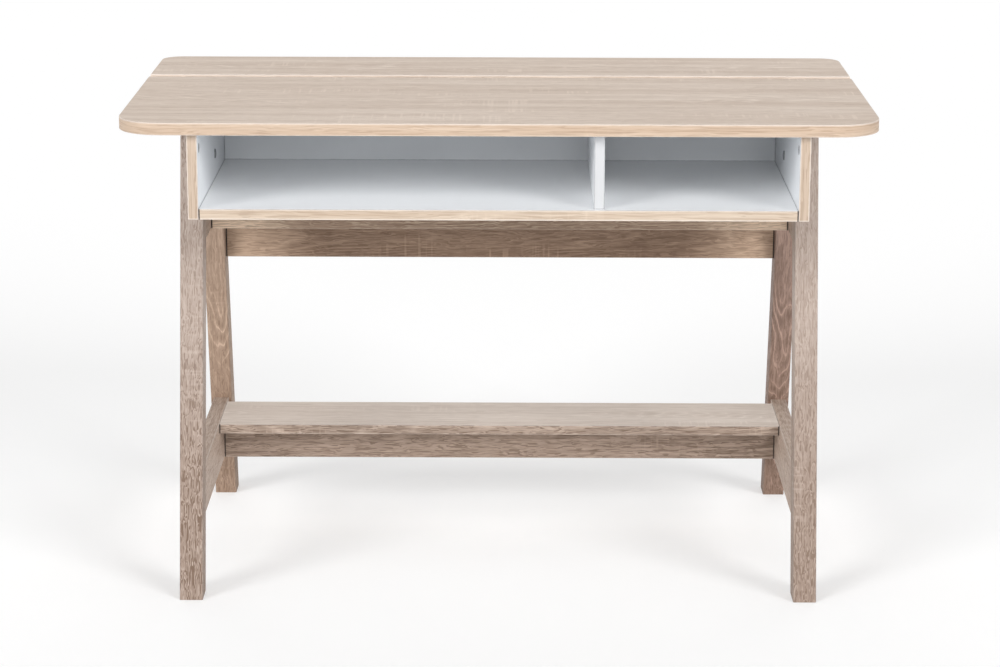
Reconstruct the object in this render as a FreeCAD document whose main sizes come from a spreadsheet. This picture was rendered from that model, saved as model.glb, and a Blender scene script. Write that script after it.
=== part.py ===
"""Writing desk: a two-piece top over an open box with two bays, carried by two raked A-frames.

A low shelf on its stretcher, an upper stretcher and a rear rail tie the A-frames together.
Millimetres, +Z up, the sitter's side towards -Y. The origin is on the floor, in the middle of the width
and midway between the front edge of the top and the back of the rear feet.
"""

import FreeCAD
import Part
import Sketcher

import os
import re

# Driving dimensions, one cell each
SIZES = {
    # Table top: a deep front board, a cable slot and a narrow rear board
    "top_width": 1100.0,
    "top_height": 750.0,
    "top_thickness": 18.0,
    "front_top_depth": 400.0,
    "cable_slot": 20.0,
    "rear_top_depth": 180.0,
    "front_corner_radius": 65.0,
    "rear_corner_radius": 32.0,
    # Boards and the banding on their edges
    "board_thickness": 15.0,
    "board_arris": 1.0,
    "banding_thickness": 1.0,
    "banding_arris": 0.6,
    # Box under the top
    "end_overhang": 102.0,
    "box_height": 126.0,
    "box_setback": 15.0,
    "right_bay_width": 280.0,
    "divider_setback": 10.0,
    # A-frames
    "leg_width": 35.0,
    "leg_depth": 45.0,
    "leg_rake": 164.0,
    "leg_arris": 2.0,
    "foot_setback": 80.0,
    "rear_foot_overhang": 50.0,
    "rail_thickness": 25.0,
    "rail_arris": 1.5,
    "upper_rail_height": 90.0,
    "lower_rail_height": 78.0,
    "shelf_height": 180.0,
    # Shelf, its stretcher and the rear rail
    "shelf_depth": 133.0,
    "shelf_rear_gap": 25.0,
    "stretcher_inset": 75.0,
    "rear_rail_height": 72.0,
    "rear_rail_bottom": 432.0,
    "assembly_gap": 0.4,
    # Cam locks and their bolts
    "cam_diameter": 15.0,
    "cam_web": 2.5,
    "cam_drop": 26.0,
    "cam_end_distance": 24.0,
    "cam_bolt_diameter": 6.0,
    "cam_bolt_grip": 11.0,
    # Dowels
    "dowel_diameter": 8.0,
    "dowel_length": 30.0,
    "dowel_face_depth": 10.0,
    # Bolts from the box into the legs
    "leg_bolt_diameter": 6.0,
    "leg_bolt_head": 15.0,
    "leg_bolt_head_height": 2.0,
    "leg_bolt_web": 8.0,
    "insert_diameter": 10.0,
    "insert_length": 15.0,
    # Clearances
    "fit_gap": 0.3,
    "blind_gap": 0.8,
}

# Places worked out from the driving dimensions
PLACES = {
    "whole_depth": "front_top_depth + cable_slot + rear_top_depth + rear_foot_overhang",
    "front_edge": "-whole_depth / 2",
    "slot_front": "front_edge + front_top_depth",
    "slot_rear": "slot_front + cable_slot",
    "rear_edge": "slot_rear + rear_top_depth",
    "top_half": "top_width / 2",
    "underside": "top_height - top_thickness",
    "box_half": "top_half - end_overhang",
    "box_front": "front_edge + box_setback",
    "box_rear": "rear_edge - box_setback",
    "box_bottom": "underside - box_height",
    "bay_half": "box_half - board_thickness",
    "bay_floor": "box_bottom + board_thickness",
    "bay_back": "slot_front - board_thickness",
    "board_front": "box_front + banding_thickness",
    "divider_front": "box_front + divider_setback + banding_thickness",
    "divider_right": "bay_half - right_bay_width",
    "divider_left": "divider_right - board_thickness",
    "foot_front": "front_edge + foot_setback",
    "foot_rear": "rear_edge + rear_foot_overhang",
    "frame_middle": "(foot_front + foot_rear) / 2",
    "rake": "leg_rake / underside",
    "leg_middle": "box_half + leg_width / 2",
    "leg_outer": "box_half + leg_width",
    "rail_inner": "leg_middle - rail_thickness / 2",
    "upper_rail_bottom": "box_bottom - upper_rail_height",
    "lower_rail_bottom": "shelf_height - lower_rail_height",
    "shelf_end": "rail_inner - assembly_gap",
    "shelf_bottom": "shelf_height - board_thickness",
    "shelf_rear": "foot_rear - leg_depth - rake * shelf_height - shelf_rear_gap",
    "shelf_front": "shelf_rear - shelf_depth",
    "lower_stretcher_front": "shelf_front + stretcher_inset",
    "lower_stretcher_rear": "lower_stretcher_front + board_thickness",
    "upper_stretcher_front": "frame_middle - board_thickness / 2",
    "upper_stretcher_rear": "frame_middle + board_thickness / 2",
    "rear_rail_top": "rear_rail_bottom + rear_rail_height",
    "rear_rail_rear": "foot_rear - rake * rear_rail_top",
    "rear_rail_front": "rear_rail_rear - board_thickness",
    "rear_rail_end": "box_half - assembly_gap",
    "cam_depth": "board_thickness - cam_web",
    "dowel_end_depth": "dowel_length - dowel_face_depth",
    "leg_bolt_tip": "leg_outer - leg_bolt_web",
}

# Where fasteners sit along the edge that carries them, as shares of its length
LEG_BOLT_SHARES = (0.405, 0.786)
REAR_CAM_SHARES = (0.22, 0.78)
FLOOR_CAM_SHARES = (0.15, 0.85)
FLOOR_DOWEL_SHARE = 0.5
RAIL_CAM_SHARE = 0.5
RAIL_DOWEL_SHARES = (0.26, 0.74)
BACK_DOWEL_SHARES = (0.25, 0.75)
DIVIDER_DOWEL_SHARES = (0.15, 0.85)
SHELF_DOWEL_SHARES = (0.25, 0.75)

SIDES = {"left": -1, "right": 1}
TURNS = {
    "x": FreeCAD.Rotation(FreeCAD.Vector(0, 1, 0), 90),
    "y": FreeCAD.Rotation(FreeCAD.Vector(1, 0, 0), -90),
    "z": FreeCAD.Rotation(),
}
ALONG_X = FreeCAD.Vector(1, 0, 0)
ALONG_Y = FreeCAD.Vector(0, 1, 0)
ALONG_Z = FreeCAD.Vector(0, 0, 1)
PARALLEL_SHARE = 0.9999
WORD = re.compile(r"[a-z][a-z_]*[a-z]")

doc = FreeCAD.newDocument("desk")
sheet = doc.addObject("Spreadsheet::Sheet", "sizes")
blanks = {}
cutters = {}
fasteners = {"cam_locks": [], "cam_bolts": [], "dowels": [], "leg_bolts": [], "leg_inserts": []}


def fill_sheet():
    """Write each driving dimension to its own cell, under its own alias."""
    for row, (alias, size) in enumerate(SIZES.items(), start=1):
        sheet.set(f"A{row}", alias)
        sheet.set(f"B{row}", str(size))
        sheet.setAlias(f"B{row}", alias)
    doc.recompute()


def formula(text):
    """Turn plain words into an expression on the sheet's cells, with every place worked out in full."""

    def swap(match):
        word = match.group()
        if word in PLACES:
            return f"({formula(PLACES[word])})"
        return f"sizes.{word}" if word in SIZES else word

    return WORD.sub(swap, text)


def value(text):
    """Today's number for a formula in words."""
    return float(sheet.evalExpression(formula(text)))


def bind(item, formulas):
    """Tie properties of a document object to formulas in words."""
    for name, text in formulas.items():
        item.setExpression(name, formula(text))


def place(item, corner):
    """Tie an object's base point to three formulas."""
    bind(item, {f"Placement.Base.{axis}": text for axis, text in zip("xyz", corner)})


def mirrored(side, low, high):
    """The span from low to high on the right side, or its mirror image on the left."""
    return (low, high) if side > 0 else (f"-({high})", f"-({low})")


def outline(body, plane, corners):
    """A closed sketch on one of the body's planes, every corner held by two bound distances."""
    sketch = body.newObject("Sketcher::SketchObject", f"{body.Name}_outline")
    support = next(item for item in body.Origin.OriginFeatures if item.Role == plane)
    sketch.AttachmentSupport = [(support, "")]
    sketch.MapMode = "FlatFace"
    points = [FreeCAD.Vector(value(across), value(up), 0) for across, up in corners]
    count = len(points)
    for index in range(count):
        sketch.addGeometry(Part.LineSegment(points[index], points[(index + 1) % count]))
    for index in range(count):
        sketch.addConstraint(Sketcher.Constraint("Coincident", index, 2, (index + 1) % count, 1))
    for index, (point, corner) in enumerate(zip(points, corners)):
        for kind, number, text in zip(("DistanceX", "DistanceY"), point, corner):
            held = sketch.addConstraint(Sketcher.Constraint(kind, -1, 1, index, 1, number))
            sketch.setExpression(f"Constraints[{held}]", formula(text))
    return sketch


def padded(label, plane, corners, length, corner):
    """A body made by padding an outline, with its base point tied to the sheet."""
    body = doc.addObject("PartDesign::Body", label)
    pad = body.newObject("PartDesign::Pad", f"{label}_pad")
    pad.Profile = outline(body, plane, corners)
    bind(pad, {"Length": length})
    place(body, corner)
    doc.recompute()
    return body


def rounded(body, chosen, radius):
    """Round the edges of the body's last feature that the test picks."""
    base = body.Tip
    names = [f"Edge{number}" for number, edge in enumerate(base.Shape.Edges, start=1) if chosen(edge)]
    fillet = body.newObject("PartDesign::Fillet", f"{body.Name}_round")
    fillet.Base = (base, names)
    bind(fillet, {"Radius": radius})
    doc.recompute()
    return body


def runs_along(direction):
    """A test for straight edges that lie along a direction."""
    unit = FreeCAD.Vector(direction).normalize()

    def test(edge):
        run = edge.Vertexes[-1].Point - edge.Vertexes[0].Point
        return abs(run.normalize().dot(unit)) > PARALLEL_SHARE

    return test


def board(label, low, high):
    """A square-edged board between two corners given as formulas."""
    across, deep, tall = [f"({far}) - ({near})" for near, far in zip(low, high)]
    corners = [("0", "0"), (across, "0"), (across, deep), ("0", deep)]
    return padded(label, "XY_Plane", corners, tall, low)


def keep(label, item):
    """Enter a finished blank as a sub-part, ready for its holes."""
    blanks[label] = item
    cutters[label] = []


def round_bar(label, axis, start, length, diameter):
    """A cylinder along one axis, from its lower end."""
    bar = doc.addObject("Part::Cylinder", label)
    bar.Placement = FreeCAD.Placement(FreeCAD.Vector(), TURNS[axis])
    bind(bar, {"Radius": f"({diameter}) / 2", "Height": length})
    place(bar, start)
    return bar


def bored(label, base, tools):
    """The base with every tool cut away."""
    tool = tools[0]
    if len(tools) > 1:
        tool = doc.addObject("Part::MultiFuse", f"{label}_tools")
        tool.Shapes = tools
    cut = doc.addObject("Part::Cut", label)
    cut.Base = base
    cut.Tool = tool
    return cut


# Table top


def top_blank(name, front, rear, rounds_front, radius, inset):
    """A board of the top's thickness, drawn in from the outline by the inset, with two corners rounded."""
    low = (f"{inset} - top_half", f"{front} + {inset}", "underside")
    high = (f"top_half - {inset}", f"{rear} - {inset}", "top_height")
    body = board(name, low, high)
    upright = runs_along(ALONG_Z)
    middle = body.Tip.Shape.CenterOfMass.y

    def outer_corner(edge):
        return upright(edge) and (edge.CenterOfMass.y < middle) == rounds_front

    return rounded(body, outer_corner, f"{radius} - {inset}")


def banded_top(label, front, rear, rounds_front, radius):
    """A top board, and the closed loop of banding round its edge with both arrises eased."""
    whole = top_blank(f"{label}_whole", front, rear, rounds_front, radius, "0")
    core = top_blank(f"{label}_core", front, rear, rounds_front, radius, "banding_thickness")
    thin = value("banding_arris")
    rounded(whole, lambda edge: edge.BoundBox.ZLength < thin, "banding_arris")
    keep(label, core)
    keep(f"{label}_banding", bored(f"{label}_loop", whole, [core]))


def table_top():
    """The deep front board and the narrow rear board, with the cable slot between them."""
    banded_top("front_top", "front_edge", "slot_front", True, "front_corner_radius")
    banded_top("rear_top", "slot_rear", "rear_edge", False, "rear_corner_radius")


# Box under the top


def box():
    """Two sides, floor, back and divider, with banding on the edges that face the sitter."""
    for name, side in SIDES.items():
        left, right = mirrored(side, "bay_half", "box_half")
        keep(f"box_side_{name}", board(f"box_side_{name}_blank", (left, "board_front", "box_bottom"),
                                       (right, "box_rear", "underside")))
        keep(f"box_side_banding_{name}", board(f"box_side_banding_{name}_blank",
                                               (left, "box_front", "box_bottom"),
                                               (right, "board_front", "underside")))
    ends = ("-bay_half + assembly_gap", "bay_half - assembly_gap")
    keep("box_floor", board("box_floor_blank", (ends[0], "board_front", "box_bottom"),
                            (ends[1], "slot_front", "bay_floor")))
    keep("box_floor_banding", board("box_floor_banding_blank", (ends[0], "box_front", "box_bottom"),
                                    (ends[1], "board_front", "bay_floor")))
    keep("box_back", board("box_back_blank", (ends[0], "bay_back", "bay_floor"),
                           (ends[1], "slot_front", "underside")))
    keep("box_divider", board("box_divider_blank", ("divider_left", "divider_front", "bay_floor"),
                              ("divider_right", "bay_back", "underside")))
    keep("box_divider_banding", board("box_divider_banding_blank",
                                      ("divider_left", "divider_front - banding_thickness", "bay_floor"),
                                      ("divider_right", "divider_front", "underside")))


# A-frames


def legs():
    """Four raked legs, cut level at the floor and under the top, with eased long edges."""
    front = [("foot_front", "0"), ("foot_front + leg_depth", "0"),
             ("foot_front + leg_depth + leg_rake", "underside"), ("foot_front + leg_rake", "underside")]
    rear = [("foot_rear - leg_depth", "0"), ("foot_rear", "0"),
            ("foot_rear - leg_rake", "underside"), ("foot_rear - leg_depth - leg_rake", "underside")]
    for name, side in SIDES.items():
        inner = mirrored(side, "box_half", "leg_outer")[0]
        for end, corners, lean in (("front", front, 1), ("rear", rear, -1)):
            label = f"{end}_leg_{name}"
            body = padded(f"{label}_blank", "YZ_Plane", corners, "leg_width", (inner, "0", "0"))
            up_the_leg = FreeCAD.Vector(0, lean * value("leg_rake"), value("underside"))
            keep(label, rounded(body, runs_along(up_the_leg), "leg_arris"))


def cross_rails():
    """Rails that close each A-frame, with ends cut to the rake of the legs."""
    for name, side in SIDES.items():
        inner = mirrored(side, "rail_inner", "rail_inner + rail_thickness")[0]
        for level, low, high in (("upper", "upper_rail_bottom", "box_bottom"),
                                 ("lower", "lower_rail_bottom", "shelf_height")):
            corners = [(behind_front_leg(low), low), (before_rear_leg(low), low),
                       (before_rear_leg(high), high), (behind_front_leg(high), high)]
            label = f"{level}_cross_rail_{name}"
            body = padded(f"{label}_blank", "YZ_Plane", corners, "rail_thickness", (inner, "0", "0"))
            keep(label, rounded(body, runs_along(ALONG_Y), "rail_arris"))


def behind_front_leg(height):
    """Where the back of a front leg is, at a height."""
    return f"foot_front + leg_depth + rake * ({height})"


def before_rear_leg(height):
    """Where the front of a rear leg is, at a height."""
    return f"foot_rear - leg_depth - rake * ({height})"


# Boards that tie the A-frames together


def ties():
    """The low shelf with its banding, the two stretchers and the rear rail."""
    eased = runs_along(ALONG_X)
    shelf_core_front = "shelf_front + banding_thickness"
    keep("shelf", board("shelf_blank", ("-shelf_end", shelf_core_front, "shelf_bottom"),
                        ("shelf_end", "shelf_rear", "shelf_height")))
    keep("shelf_banding", board("shelf_banding_blank", ("-shelf_end", "shelf_front", "shelf_bottom"),
                                ("shelf_end", shelf_core_front, "shelf_height")))
    lower = board("lower_stretcher_blank", ("-shelf_end", "lower_stretcher_front", "lower_rail_bottom"),
                  ("shelf_end", "lower_stretcher_rear", "shelf_bottom"))
    keep("lower_stretcher", rounded(lower, eased, "board_arris"))
    upper = board("upper_stretcher_blank", ("-shelf_end", "upper_stretcher_front", "upper_rail_bottom"),
                  ("shelf_end", "upper_stretcher_rear", "box_bottom"))
    keep("upper_stretcher", rounded(upper, eased, "board_arris"))
    rail = board("rear_rail_blank", ("-rear_rail_end", "rear_rail_front", "rear_rail_bottom"),
                 ("rear_rail_end", "rear_rail_rear", "rear_rail_top"))
    keep("rear_rail", rounded(rail, eased, "board_arris"))


# Fasteners


def dowel(axis, joint, face_sign, members):
    """A dowel across a joint: a short end in the face of one board, a long end in the edge of the other."""
    number = len(fasteners["dowels"])
    before, after = "dowel_face_depth", "dowel_end_depth"
    if face_sign > 0:
        before, after = after, before
    start = list(joint)
    index = "xyz".index(axis)
    start[index] = f"{joint[index]} - {before}"
    fasteners["dowels"].append(round_bar(f"dowel_{number}", axis, start, "dowel_length", "dowel_diameter"))
    start[index] = f"{joint[index]} - {before} - blind_gap"
    hole = round_bar(f"dowel_hole_{number}", axis, start, "dowel_length + 2 * blind_gap",
                     "dowel_diameter + 2 * fit_gap")
    for member in members:
        cutters[member].append(hole)


def cam_lock(face, face_sign, bolt, bolt_sign, middle, member, mate):
    """A cam lock let into a board's face, and the bolt that it pulls out of the mating board.

    middle is the cam's centre on the face, cam_drop away from the joint along the bolt."""
    number = len(fasteners["cam_locks"])
    face_index = "xyz".index(face)
    bolt_index = "xyz".index(bolt)
    inward = "-" if face_sign > 0 else "+"
    start = list(middle)
    if face_sign > 0:
        start[face_index] = f"{middle[face_index]} - cam_depth"
    pocket = round_bar(f"cam_pocket_{number}", face, start, "cam_depth", "cam_diameter + 2 * fit_gap")
    cam = round_bar(f"cam_{number}", face, start, "cam_depth", "cam_diameter")
    shank_length = "cam_drop + cam_bolt_grip"
    shank = list(middle)
    shank[face_index] = f"{middle[face_index]} {inward} board_thickness / 2"
    hole = list(shank)
    if bolt_sign < 0:
        shank[bolt_index] = f"{middle[bolt_index]} - ({shank_length})"
        hole[bolt_index] = f"{middle[bolt_index]} - ({shank_length}) - blind_gap"
    bolt_bar = round_bar(f"cam_bolt_{number}", bolt, shank, shank_length, "cam_bolt_diameter")
    bolt_hole = round_bar(f"cam_bolt_hole_{number}", bolt, hole, f"{shank_length} + blind_gap",
                          "cam_bolt_diameter + 2 * fit_gap")
    fasteners["cam_bolts"].append(bolt_bar)
    fasteners["cam_locks"].append(bored(f"cam_notched_{number}", cam, [bolt_hole]))
    cutters[member] += [pocket, bolt_hole]
    cutters[mate].append(bolt_hole)


def leg_bolt(side, across, height, panel, leg):
    """A flat-headed bolt from inside the box into a threaded insert in a leg."""
    number = len(fasteners["leg_bolts"])

    def bar(label, low, high, diameter):
        start, end = mirrored(side, low, high)
        return round_bar(f"{label}_{number}", "x", (start, across, height), f"({end}) - ({start})", diameter)

    head = bar("leg_bolt_head", "bay_half - leg_bolt_head_height", "bay_half", "leg_bolt_head")
    shank = bar("leg_bolt_shank", "bay_half", "leg_bolt_tip", "leg_bolt_diameter")
    hole = bar("leg_bolt_hole", "bay_half", "leg_bolt_tip + blind_gap", "leg_bolt_diameter + 2 * fit_gap")
    sleeve = bar("insert_sleeve", "box_half", "box_half + insert_length", "insert_diameter")
    seat = bar("insert_seat", "box_half", "box_half + insert_length", "insert_diameter + 2 * fit_gap")
    bolt = doc.addObject("Part::Fuse", f"leg_bolt_{number}")
    bolt.Base = head
    bolt.Tool = shank
    fasteners["leg_bolts"].append(bolt)
    fasteners["leg_inserts"].append(bored(f"insert_{number}", sleeve, [hole]))
    cutters[panel].append(hole)
    cutters[leg] += [hole, seat]


def between(low, high, share):
    """The place at a share of the way from low to high."""
    return f"{low} + (({high}) - ({low})) * {share}"


def top_fasteners():
    """Cam locks in the box sides, two for each top board at each end; the rear ones lie behind the legs."""
    height = "underside - cam_drop"
    leg_rear = f"{before_rear_leg(height)} + leg_depth"
    places = [("board_front + cam_end_distance", "front_top"), ("bay_back - cam_end_distance", "front_top")]
    places += [(between(leg_rear, "box_rear", share), "rear_top") for share in REAR_CAM_SHARES]
    for name, side in SIDES.items():
        inner = "bay_half" if side > 0 else "-bay_half"
        for across, mate in places:
            cam_lock("x", -side, "z", 1, (inner, across, height), f"box_side_{name}", mate)


def box_fasteners():
    """Cam locks and dowels at the ends of the floor, dowels for the back and the divider."""
    floor_middle = "box_bottom + board_thickness / 2"
    back_middle = "slot_front - board_thickness / 2"
    for name, side in SIDES.items():
        panel = f"box_side_{name}"
        sign = "" if side > 0 else "-"
        joint = f"{sign}(bay_half - assembly_gap)"
        for share in FLOOR_CAM_SHARES:
            across = between("board_front", "slot_front", share)
            middle = (f"{sign}(bay_half - assembly_gap - cam_drop)", across, "box_bottom")
            cam_lock("z", -1, "x", side, middle, "box_floor", panel)
        across = between("board_front", "slot_front", FLOOR_DOWEL_SHARE)
        dowel("x", (joint, across, floor_middle), side, ("box_floor", panel))
        for share in BACK_DOWEL_SHARES:
            height = between("bay_floor", "underside", share)
            dowel("x", (joint, back_middle, height), side, ("box_back", panel))
    divider_middle = "divider_left + board_thickness / 2"
    for share in DIVIDER_DOWEL_SHARES:
        across = between("divider_front", "bay_back", share)
        dowel("z", (divider_middle, across, "bay_floor"), -1, ("box_divider", "box_floor"))
        dowel("z", (divider_middle, across, "underside"), 1, ("box_divider", "front_top"))


def frame_fasteners():
    """Dowels between rails and legs, and the bolts from the box into the legs."""
    for name, side in SIDES.items():
        across = "leg_middle" if side > 0 else "-leg_middle"
        for level, low, high in (("upper", "upper_rail_bottom", "box_bottom"),
                                 ("lower", "lower_rail_bottom", "shelf_height")):
            rail = f"{level}_cross_rail_{name}"
            for share in RAIL_DOWEL_SHARES:
                height = between(low, high, share)
                dowel("y", (across, behind_front_leg(height), height), -1, (rail, f"front_leg_{name}"))
                dowel("y", (across, before_rear_leg(height), height), 1, (rail, f"rear_leg_{name}"))
        for share in LEG_BOLT_SHARES:
            height = between("box_bottom", "underside", share)
            front = f"{behind_front_leg(height)} - leg_depth / 2"
            rear = f"{before_rear_leg(height)} + leg_depth / 2"
            leg_bolt(side, front, height, f"box_side_{name}", f"front_leg_{name}")
            leg_bolt(side, rear, height, f"box_side_{name}", f"rear_leg_{name}")


def tie_fasteners():
    """A cam lock and two dowels at each end of the stretchers and the rear rail, dowels for the shelf."""
    tied = (("lower_stretcher", "lower_stretcher_rear", "shelf_end", "lower_rail_bottom", "shelf_bottom",
             "lower_cross_rail"),
            ("upper_stretcher", "upper_stretcher_rear", "shelf_end", "upper_rail_bottom", "box_bottom",
             "upper_cross_rail"),
            ("rear_rail", "rear_rail_rear", "rear_rail_end", "rear_rail_bottom", "rear_rail_top", "rear_leg"))
    for name, side in SIDES.items():
        sign = "" if side > 0 else "-"
        for tie, rear, end, low, high, frame in tied:
            mate = f"{frame}_{name}"
            height = between(low, high, RAIL_CAM_SHARE)
            cam_lock("y", 1, "x", side, (f"{sign}({end} - cam_drop)", rear, height), tie, mate)
            for share in RAIL_DOWEL_SHARES:
                joint = (f"{sign}({end})", f"{rear} - board_thickness / 2", between(low, high, share))
                dowel("x", joint, side, (tie, mate))
        for share in SHELF_DOWEL_SHARES:
            joint = (f"{sign}shelf_end", between("shelf_front", "shelf_rear", share),
                     "shelf_bottom + board_thickness / 2")
            dowel("x", joint, side, ("shelf", f"lower_cross_rail_{name}"))


# Finished sub-parts


def finished():
    """Every sub-part by its name: blanks with their holes, and each kind of fastener as one group."""
    nodes = {}
    for label, blank in blanks.items():
        node = bored(f"{label}_bored", blank, cutters[label]) if cutters[label] else blank
        nodes[label] = node
    for label, pieces in fasteners.items():
        group = doc.addObject("Part::Compound", f"{label}_group")
        group.Links = pieces
        nodes[label] = group
    for label, node in nodes.items():
        node.Label = label
    doc.recompute()
    return nodes


def write(nodes):
    """Check every object and shape, then write one file for each sub-part."""
    for item in doc.Objects:
        if "Invalid" in item.State or "Error" in item.State:
            raise RuntimeError(f"{item.Label} failed to build")
    for label, node in nodes.items():
        if node.Shape.isNull() or not node.Shape.isValid():
            raise RuntimeError(f"{label} has no valid shape")
    os.makedirs("parts", exist_ok=True)
    for label, node in nodes.items():
        node.Shape.exportStep(f"parts/{label}.step")
        print(label, len(node.Shape.Solids), round(node.Shape.Volume), node.Shape.BoundBox)


def main():
    fill_sheet()
    table_top()
    box()
    legs()
    cross_rails()
    ties()
    top_fasteners()
    box_fasteners()
    frame_fasteners()
    tie_fasteners()
    write(finished())


main()
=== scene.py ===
import math

import bpy
import numpy as np
from bpy.props import FloatProperty, FloatVectorProperty, PointerProperty
from mathutils import Euler, Matrix, Vector


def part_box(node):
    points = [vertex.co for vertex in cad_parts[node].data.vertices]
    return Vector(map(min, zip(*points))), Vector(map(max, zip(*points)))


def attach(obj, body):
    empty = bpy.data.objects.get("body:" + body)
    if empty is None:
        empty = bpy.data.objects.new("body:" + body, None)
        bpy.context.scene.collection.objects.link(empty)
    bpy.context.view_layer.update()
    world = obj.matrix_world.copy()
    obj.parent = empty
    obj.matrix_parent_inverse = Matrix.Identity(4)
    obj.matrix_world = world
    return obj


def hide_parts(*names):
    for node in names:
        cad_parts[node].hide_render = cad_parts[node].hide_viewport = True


bl_info = {
    "name": "Writing desk looks",
    "version": (1, 0, 0),
    "blender": (4, 5, 0),
    "location": "3D View > Sidebar > Desk",
    "description": "Oak, banding, white board and zinc finishes for a desk with two bays and a low shelf",
    "category": "Object",
}

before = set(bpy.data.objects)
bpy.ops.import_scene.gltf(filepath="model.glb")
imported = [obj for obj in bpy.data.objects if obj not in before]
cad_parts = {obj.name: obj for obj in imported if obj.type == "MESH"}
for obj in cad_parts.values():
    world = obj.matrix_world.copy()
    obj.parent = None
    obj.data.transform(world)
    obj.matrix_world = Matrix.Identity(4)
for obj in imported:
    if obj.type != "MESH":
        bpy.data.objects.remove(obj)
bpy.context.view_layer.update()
BODY = "root"
MM = 0.001
LENGTH_DIGITS = 5
BLACK, WHITE = (0.0, 0.0, 0.0), (1.0, 1.0, 1.0, 1.0)


# Settings


def colour_setting(name, words, default):
    """A colour that the panel can change, in linear values."""
    return FloatVectorProperty(name=name, description=words, subtype="COLOR", size=3, min=0.0, max=1.0,
                               default=default)


def length_setting(name, words, default):
    """A length that the panel can change, in metres."""
    return FloatProperty(name=name, description=words, default=default, min=0.0, unit="LENGTH",
                         precision=LENGTH_DIGITS)


class DeskColours(bpy.types.PropertyGroup):
    """Colours of the desk's boards, banding and fittings."""

    top_light: colour_setting("Top light", "Pale wood of the top boards", (0.738, 0.637, 0.553))
    top_dark: colour_setting("Top dark", "Deeper wood of the top boards", (0.592, 0.486, 0.406))
    band_light: colour_setting("Banding light", "Pale wood of the edge banding", (0.615, 0.487, 0.38))
    band_dark: colour_setting("Banding dark", "Deeper wood of the edge banding", (0.483, 0.356, 0.26))
    rear_band_light: colour_setting("Rear banding light", "Pale wood of the rear banding", (0.68, 0.57, 0.475))
    rear_band_dark: colour_setting("Rear banding dark", "Deeper wood of the rear banding", (0.555, 0.435, 0.345))
    side_band_light: colour_setting("Box side light", "Pale wood of the box side edges", (0.566, 0.463, 0.371))
    side_band_dark: colour_setting("Box side dark", "Deeper wood of the box side edges", (0.434, 0.327, 0.247))
    floor_band_light: colour_setting("Box floor light", "Pale wood of the box floor edge", (0.624, 0.527, 0.427))
    floor_band_dark: colour_setting("Box floor dark", "Deeper wood of the box floor edge", (0.478, 0.372, 0.284))
    front_leg_light: colour_setting("Front leg light", "Pale wood of the front legs", (0.437, 0.36, 0.313))
    front_leg_dark: colour_setting("Front leg dark", "Deeper wood of the front legs", (0.353, 0.281, 0.239))
    # The rear legs' wood is deeper than the front legs' partly as painted shade, where less light reaches under
    # the top; the left and right rear legs also differ in the wood's own tone
    rear_left_light: colour_setting("Left rear light", "Pale wood of the left rear leg", (0.5, 0.368, 0.28))
    rear_left_dark: colour_setting("Left rear dark", "Deeper wood of the left rear leg", (0.333, 0.237, 0.175))
    rear_right_light: colour_setting("Right rear light", "Pale wood of the right rear leg", (0.37, 0.257, 0.21))
    rear_right_dark: colour_setting("Right rear dark", "Deeper wood of the right rear leg", (0.2, 0.134, 0.108))
    rail_light: colour_setting("Cross rail light", "Pale wood of the cross rails", (0.48, 0.382, 0.315))
    rail_dark: colour_setting("Cross rail dark", "Deeper wood of the cross rails", (0.343, 0.258, 0.21))
    shelf_light: colour_setting("Shelf light", "Pale wood of the low shelf", (0.68, 0.605, 0.542))
    shelf_dark: colour_setting("Shelf dark", "Deeper wood of the low shelf", (0.567, 0.483, 0.42))
    shelf_edge_light: colour_setting("Shelf edge light", "Pale wood of the shelf edge", (0.455, 0.362, 0.297))
    shelf_edge_dark: colour_setting("Shelf edge dark", "Deeper wood of the shelf edge", (0.27, 0.205, 0.162))
    stretcher_light: colour_setting("Lower light", "Pale wood of the lower stretcher", (0.415, 0.32, 0.258))
    stretcher_dark: colour_setting("Lower dark", "Deeper wood of the lower stretcher", (0.242, 0.18, 0.14))
    rear_rail_light: colour_setting("Rear rail light", "Pale wood of the rear rail", (0.52, 0.378, 0.276))
    rear_rail_dark: colour_setting("Rear rail dark", "Deeper wood of the rear rail", (0.225, 0.147, 0.102))
    # The upper stretcher's pale wood is mostly painted light, for its lit ends under the box
    upper_light: colour_setting("Upper light", "Pale wood of the upper stretcher", (0.85, 0.66, 0.50))
    upper_dark: colour_setting("Upper dark", "Deeper wood of the upper stretcher", (0.27, 0.188, 0.136))
    # Painted shade: the legs darken towards the floor, where less light reaches them
    foot_shade: colour_setting("Foot", "Brown of the legs towards the floor", (0.2, 0.13, 0.09))
    pore: colour_setting("Pores", "Dark pores in the oak", (0.17, 0.11, 0.08))
    white: colour_setting("White board", "Cool white of the box", (0.87, 0.89, 0.915))
    # The bays' sides, back and floor are lit and shaded copies of one white board, as painted light: the sides
    # and floor paler, the back deeper
    white_side: colour_setting("White sides", "Sides of the bays", (0.90, 0.92, 0.945))
    white_back: colour_setting("White back", "Back of the bays", (0.82, 0.84, 0.865))
    white_floor: colour_setting("White floor", "Floor of the bays", (0.945, 0.955, 0.965))
    white_edge: colour_setting("White edge", "Front edge of the divider", (0.575, 0.583, 0.596))
    joint: colour_setting("Joint", "Shade in the open joints", (0.05, 0.04, 0.035))
    zinc: colour_setting("Zinc", "Plated cams, bolts and inserts", (0.42, 0.42, 0.43))
    dowel: colour_setting("Dowel", "Turned dowels", (0.66, 0.48, 0.31))
    floor: colour_setting("Floor", "Studio floor", (0.93, 0.93, 0.93))


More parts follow.
